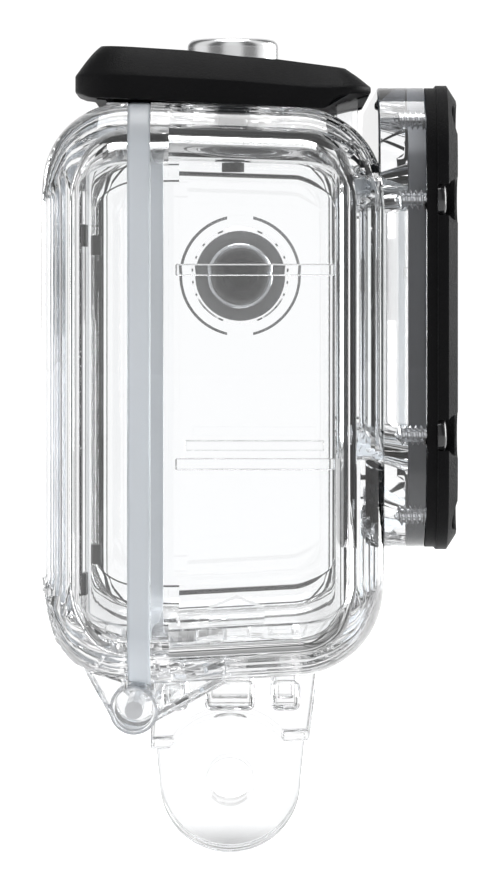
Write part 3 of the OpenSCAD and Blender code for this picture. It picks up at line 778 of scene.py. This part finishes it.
def latch_lever():
    def under(lift):
        return lambda y: along_line(LATCH_UNDERSIDE, y) + lift

    def bevel_height(part):
        def height(y):
            crease = along_line(LATCH_CREASE, y)
            rise = along_line(LATCH_TOP, y) - crease
            return crease + rise * (0.6 * part + 0.4 * math.sin(part * TURN / 4))
        return height

    rings = [latch_outline(0.25, under(0)), latch_outline(0.07, under(0.07)), latch_outline(0, under(0.25)),
             latch_outline(0, lambda y: along_line(LATCH_CREASE, y) - 0.12),
             latch_outline(0.05, lambda y: along_line(LATCH_CREASE, y) + 0.02)]
    rings += [latch_outline(0.05 + (LATCH_BEVEL - 0.05) * i / 8, bevel_height(i / 8)) for i in range(1, 9)]
    lever = loft("latch_lever", rings)
    hollow = prism("hollow", [(-8, 60), (13.6, 60), (13.6, 72.8), (11.2, 74.6), (-8, 73.2)],
                   latch_low.x + 2.4, latch_high.x - 1.8)
    slots = [block("ear_slot", (x - 2.15, LATCH_PIN.y - 5, 60),
                   (x + 2.15, LATCH_PIN.y + 1.2, LATCH_PIN.z + 1.2)) for x in EAR_X]
    keep = block("keep", (-22.8, 12.7, 50), (60, 40, 90))
    cut(hollow, keep)
    cut(lever, shell_block("shell_room", 0.06), hollow, beyond_tab(), *slots)
    return finish_piece(lever, "latch", (LATCH_BLACK, EDGE_HIGHLIGHT_BLACK), "latch", ["latch_lever"],
                        sharp=32, bevel=0.12)


SCREW_PLACES = [(sx * x, FLANGE_Z + sz * dz) for x, dz in ((35.1, 11.8), (32.2, 19.3), (12, 22.1))
                for sx in (-1, 1) for sz in (-1, 1)]
SCREW_SEAT_Y = -20.9


def place_front(x, z):
    return Matrix.Translation((x, SCREW_SEAT_Y, z)) @ Matrix.Rotation(TURN / 4, 4, "X")


def front_bezel():
    def outline(inset, y):
        return rounded_outline(FLANGE_W - inset, FLANGE_Z - FLANGE_H + inset, FLANGE_Z + FLANGE_H - inset,
                               FLANGE_R - inset, FLANGE_R - inset, y, 20)
    rear, front = bezel_high.y, bezel_low.y
    frame_plate = loft("front_bezel", [outline(0.25, rear), outline(0.25, rear - 1.1), outline(0, rear - 1.1),
                                       outline(0, front + 0.95), outline(1.5, front)])
    window = slab("window", 27, 15.5, FLANGE_Z, 4, -40, 0)
    splay = loft("splay", [rounded_outline(27 + w, FLANGE_Z - 15.5 - w, FLANGE_Z + 15.5 + w, 4 + w, 4 + w, y)
                           for w, y in ((-0.1, front + 1.3), (1.6, front - 0.4))])
    well = [(0, 0), (1.9, 0), (2.1, 0.2), (2.1, 1.85), (2.5, 2.3), (2.5, 9), (0, 9)]
    wells = [lathe("well", well, place_front(x, z), 48) for x, z in SCREW_PLACES]
    cut(frame_plate, window, splay, *wells)
    return finish_piece(frame_plate, "bezel", (BEZEL_BLACK, EDGE_HIGHLIGHT_BLACK), "housing",
                        ["front_bezel"], sharp=30, bevel=0.09)


def paint(obj, index):
    for face in obj.data.polygons:
        face.material_index = index
    return obj


THREAD_STEPS = 20


def thread(name, low, high, core_r, crest_r, pitch):
    """A screw thread wound round the Z axis."""
    turns = round((high - low) / pitch)
    bm = bmesh.new()
    profile = [(core_r - 0.1, -0.2), (core_r, -0.17), (crest_r, -0.03), (crest_r, 0.03), (core_r, 0.17),
               (core_r - 0.1, 0.2)]
    verts = [bm.verts.new((r, 0, low + h)) for r, h in profile]
    edges = [bm.edges.new((verts[i], verts[(i + 1) % len(verts)])) for i in range(len(verts))]
    bmesh.ops.spin(bm, geom=verts + edges, axis=(0, 0, 1), cent=(0, 0, 0), dvec=(0, 0, pitch / THREAD_STEPS),
                   angle=TURN * turns, steps=THREAD_STEPS * turns, use_merge=False)
    bmesh.ops.holes_fill(bm, edges=bm.edges, sides=len(profile))
    return link(name, bm)


def bezel_screws():
    upright = Matrix.Identity(4)
    head = lathe("head", [(0, 0), (1.7, 0), (1.75, 0.05), (1.75, 0.55), (1.62, 0.75), (1.35, 0.88),
                          (0.9, 0.94), (0, 0.96)], upright, 48)
    cross = [block("cross", (-w, -h, 0.45), (w, h, 2)) for w, h in ((1.1, 0.25), (0.25, 1.1))]
    cut(head, *cross)
    paint(head, 0)
    shank = lathe("shank", [(0, -4.3), (0.35, -4.1), (0.72, -3.6), (0.72, 0.02), (0, 0.02)], upright, 32)
    threads = thread("thread", -3.9, -0.2, 0.72, 1.02, 0.54)
    paint(shank, 1)
    paint(threads, 1)
    one = join("one_screw", [head, shank, threads])
    bm = bmesh.new()
    for x, z in SCREW_PLACES:
        copy = one.data.copy()
        copy.transform(place_front(x, z))
        bm.from_mesh(copy)
        bpy.data.meshes.remove(copy)
    bpy.data.objects.remove(one)
    mesh = bpy.data.meshes.new("bezel_screws")
    bm.to_mesh(mesh)
    bm.free()
    screws = bpy.data.objects.new("bezel_screws", mesh)
    bpy.context.scene.collection.objects.link(screws)
    return finish_piece(screws, "pan_head_screws", (BLACK_STEEL, STEEL), "housing", ["bezel_screws"])


SPRING_R = 3.5
SPRING_WIRE_R = 0.3
SPRING_STEPS = 32
SPRING_SIDES = 12


def shutter_button():
    r, low, high = 5.05, shutter_low.z, shutter_high.z
    profile = [(1.0, high - 1.1), (1.0, low + 1.6), (1.9, low + 1.6), (1.9, high - 2), (r - 0.9, high - 2),
               (r - 0.9, low), (r - 0.1, low), (r, low + 0.1)]
    profile += [(r - 0.9 + 0.9 * math.cos(a), high - 0.9 + 0.9 * math.sin(a))
                for a in (i / 10 * TURN / 4 for i in range(11))]
    profile += [(3.4, high - 0.03), (2.0, high - 0.12), (0, high - 0.16), (0, high - 1.1)]
    cap = lathe("shutter_cap", profile, place_up(SHUTTER.x, SHUTTER.y), 128)
    return finish_piece(cap, "shutter_button_cap", CAP_METAL, "shutter_button",
                        ["shutter_cap"])


def button_spring(name, low, high, turns, place, node):
    """A wire coil along its button's axis."""
    length = high - low
    steps = SPRING_STEPS * turns
    bm = bmesh.new()
    bmesh.ops.create_circle(bm, segments=SPRING_SIDES, radius=SPRING_WIRE_R)
    bmesh.ops.rotate(bm, cent=(0, 0, 0), matrix=Matrix.Rotation(TURN / 4, 3, "X"), verts=bm.verts)
    bmesh.ops.translate(bm, vec=(SPRING_R, 0, low + SPRING_WIRE_R), verts=bm.verts)
    bmesh.ops.spin(bm, geom=list(bm.verts) + list(bm.edges), axis=(0, 0, 1), cent=(0, 0, 0),
                   dvec=(0, 0, (length - 2 * SPRING_WIRE_R) / steps), angle=TURN * turns, steps=steps,
                   use_merge=False)
    bmesh.ops.holes_fill(bm, edges=bm.edges, sides=SPRING_SIDES)
    bmesh.ops.transform(bm, matrix=place, verts=bm.verts)
    coil = finish_piece(link(name, bm), name, STEEL, "housing", [node], 50)
    coil.modifiers.clear()
    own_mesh(coil)
    return coil


# ---------------------------------------------------------------- camera, light and floor

VIEW_DISTANCE = 0.52
VIEW_Y = -0.00214
VIEW_Z = 0.0492
VIEW_LENS = 195.8
VIEW_SHIFT = -0.139


def make_camera():
    camera = bpy.data.objects.new("camera", bpy.data.cameras.new("camera"))
    bpy.context.scene.collection.objects.link(camera)
    camera.location = (-VIEW_DISTANCE, VIEW_Y, VIEW_Z)
    camera.rotation_euler = (TURN / 4, 0, -TURN / 4)
    camera.data.sensor_width = 36
    camera.data.lens = VIEW_LENS
    camera.data.shift_y = VIEW_SHIFT
    camera.data.clip_start = 0.01
    camera.data.clip_end = 60
    bpy.context.scene.camera = camera


WIDE_FLAGS = 8
WIDE_FLAG_EDGES = (-0.86, -0.78)
NARROW_FLAGS = 16
NARROW_FLAG_EDGES = (-0.96, -0.92)
LEVEL_FLAGS = TURN / 0.26
LEVEL_FLAG_EDGES = (-0.9, -0.8)
FLAG_TONE = 0.0
LOW_BAND_Z = -0.68
LOW_BAND_EDGES = (0.16, 0.22)
LOW_BAND_TONE = 0.25
BROAD_FLAGS = 4
BROAD_FLAG_EDGES = (-0.6, 0.3)
BROAD_FLAG_TONE = 0.12
SEEN_TONE = 1.05
ROOM_TONE = 1.0


def make_world():
    """A bright room with narrow dark flags, which draw the edges of the clear parts. Mirror reflections see
    broader stripes, and the camera sees a plain pale room."""
    world = bpy.data.worlds.new("studio")
    bpy.context.scene.world = world
    world.use_nodes = True
    nodes, links = world.node_tree.nodes, world.node_tree.links
    background = nodes["Background"]
    background.inputs["Color"].default_value = (1, 1, 1, 1)

    def math_node(operation, *inputs):
        made = nodes.new("ShaderNodeMath")
        made.operation = operation
        for socket, value in zip(made.inputs, inputs):
            if isinstance(value, (int, float)):
                socket.default_value = value
            else:
                links.new(value, socket)
        return made.outputs["Value"]

    coords = nodes.new("ShaderNodeTexCoord")
    split = nodes.new("ShaderNodeSeparateXYZ")
    links.new(coords.outputs["Generated"], split.inputs["Vector"])
    azimuth = math_node("ARCTAN2", split.outputs["Y"], split.outputs["X"])

    def stripes(angle, count, edges, tone):
        """ROOM_TONE with dark stripes half-way between count even directions."""
        made = nodes.new("ShaderNodeMapRange")
        made.inputs["From Min"].default_value, made.inputs["From Max"].default_value = edges
        made.inputs["To Min"].default_value = tone
        made.inputs["To Max"].default_value = ROOM_TONE
        links.new(math_node("COSINE", math_node("MULTIPLY", angle, count)), made.inputs["Value"])
        return made.outputs["Result"]

    wide = stripes(azimuth, WIDE_FLAGS, WIDE_FLAG_EDGES, FLAG_TONE)
    narrow = stripes(azimuth, NARROW_FLAGS, NARROW_FLAG_EDGES, FLAG_TONE)
    level = stripes(split.outputs["Z"], LEVEL_FLAGS, LEVEL_FLAG_EDGES, FLAG_TONE)
    flags = math_node("MINIMUM", math_node("MINIMUM", wide, narrow), level)
    below = nodes.new("ShaderNodeMapRange")
    below.inputs["From Min"].default_value, below.inputs["From Max"].default_value = LOW_BAND_EDGES
    below.inputs["To Min"].default_value = LOW_BAND_TONE
    below.inputs["To Max"].default_value = ROOM_TONE
    links.new(math_node("ABSOLUTE", math_node("ADD", split.outputs["Z"], -LOW_BAND_Z)), below.inputs["Value"])
    flags = math_node("MULTIPLY", flags, below.outputs["Result"])
    broad = stripes(azimuth, BROAD_FLAGS, BROAD_FLAG_EDGES, BROAD_FLAG_TONE)
    path = nodes.new("ShaderNodeLightPath")
    mirrored = nodes.new("ShaderNodeMix")
    reflected = math_node("SUBTRACT", path.outputs["Is Glossy Ray"], path.outputs["Is Transmission Ray"])
    mirrored.clamp_factor = True
    links.new(reflected, mirrored.inputs["Factor"])
    links.new(flags, mirrored.inputs["A"])
    links.new(broad, mirrored.inputs["B"])
    seen = nodes.new("ShaderNodeMix")
    links.new(path.outputs["Is Camera Ray"], seen.inputs["Factor"])
    links.new(mirrored.outputs["Result"], seen.inputs["A"])
    seen.inputs["B"].default_value = SEEN_TONE
    links.new(seen.outputs["Result"], background.inputs["Strength"])


FLOOR_DROP = 0.014  # deeper below the fingers than the open door hangs


def make_floor():
    bm = bmesh.new()
    bmesh.ops.create_grid(bm, x_segments=1, y_segments=1, size=6)
    bmesh.ops.translate(bm, vec=(0, 0, cad_low.z - FLOOR_DROP), verts=bm.verts)
    mesh = bpy.data.meshes.new("floor")
    bm.to_mesh(mesh)
    bm.free()
    floor = bpy.data.objects.new("floor", mesh)
    bpy.context.scene.collection.objects.link(floor)
    finish = Finish("pale_floor", Base_Color=(0.8, 0.8, 0.8, 1), Roughness=0.9, Specular_IOR_Level=0.0,
                    Emission_Color=(1, 1, 1, 1), Emission_Strength=0.6)
    mesh.materials.append(finish.material)
    floor.visible_transmission = False


def area_light(name, place, aim, size, power):
    data = bpy.data.lights.new(name, "AREA")
    data.shape = "RECTANGLE"
    data.size, data.size_y = size
    data.energy = power
    light = bpy.data.objects.new(name, data)
    bpy.context.scene.collection.objects.link(light)
    light.location = place
    light.rotation_euler = (Vector(aim) - Vector(place)).to_track_quat("-Z", "Y").to_euler()


def make_lights():
    centre = (0, 0, 0.04)
    area_light("overhead", (0, 0, 1.2), centre, (0.7, 0.7), 12)
    area_light("front_panel", (0.35, -0.75, 0.15), centre, (0.5, 0.7), 12)


make_camera()
make_world()
make_floor()
make_lights()
bpy.context.scene.view_settings.view_transform = "Standard"
bpy.context.scene.cycles.transmission_bounces = 24
bpy.context.scene.cycles.glossy_bounces = 24
bpy.context.scene.cycles.max_bounces = 32
bpy.context.scene.cycles.transparent_max_bounces = 24

front_shell()
rear_door()
mount_foot()
window()
door_gasket()
window_seal()
latch_lever()
front_bezel()
bezel_screws()
shutter_button()
button_spring("shutter_coil", shutter_spring_low.z, shutter_spring_high.z, 4, place_up(SHUTTER.x, SHUTTER.y),
              "shutter_spring")
button_spring("side_coil", side_spring_low.x, side_spring_high.x, 2, place_side(SIDE.y, SIDE.z),
              "side_spring")

for name, finish in {
    "hinge_pins": STEEL,
    "latch_pin": STEEL, "door_pads": BLACK_RUBBER, "shutter_bush": DARK_GREY, "shutter_plunger": STEEL,
    "shutter_orings": BLACK_RUBBER, "shutter_clip": BLACK_STEEL,
    "shutter_tip": BLACK_RUBBER, "side_bush": DARK_GREY, "side_plunger": STEEL, "side_cap": DARK_GREY,
    "side_orings": BLACK_RUBBER, "side_clip": BLACK_STEEL, "side_tip": BLACK_RUBBER,
}.items():
    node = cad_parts[name]
    node.data.materials.clear()
    node.data.materials.append(finish)
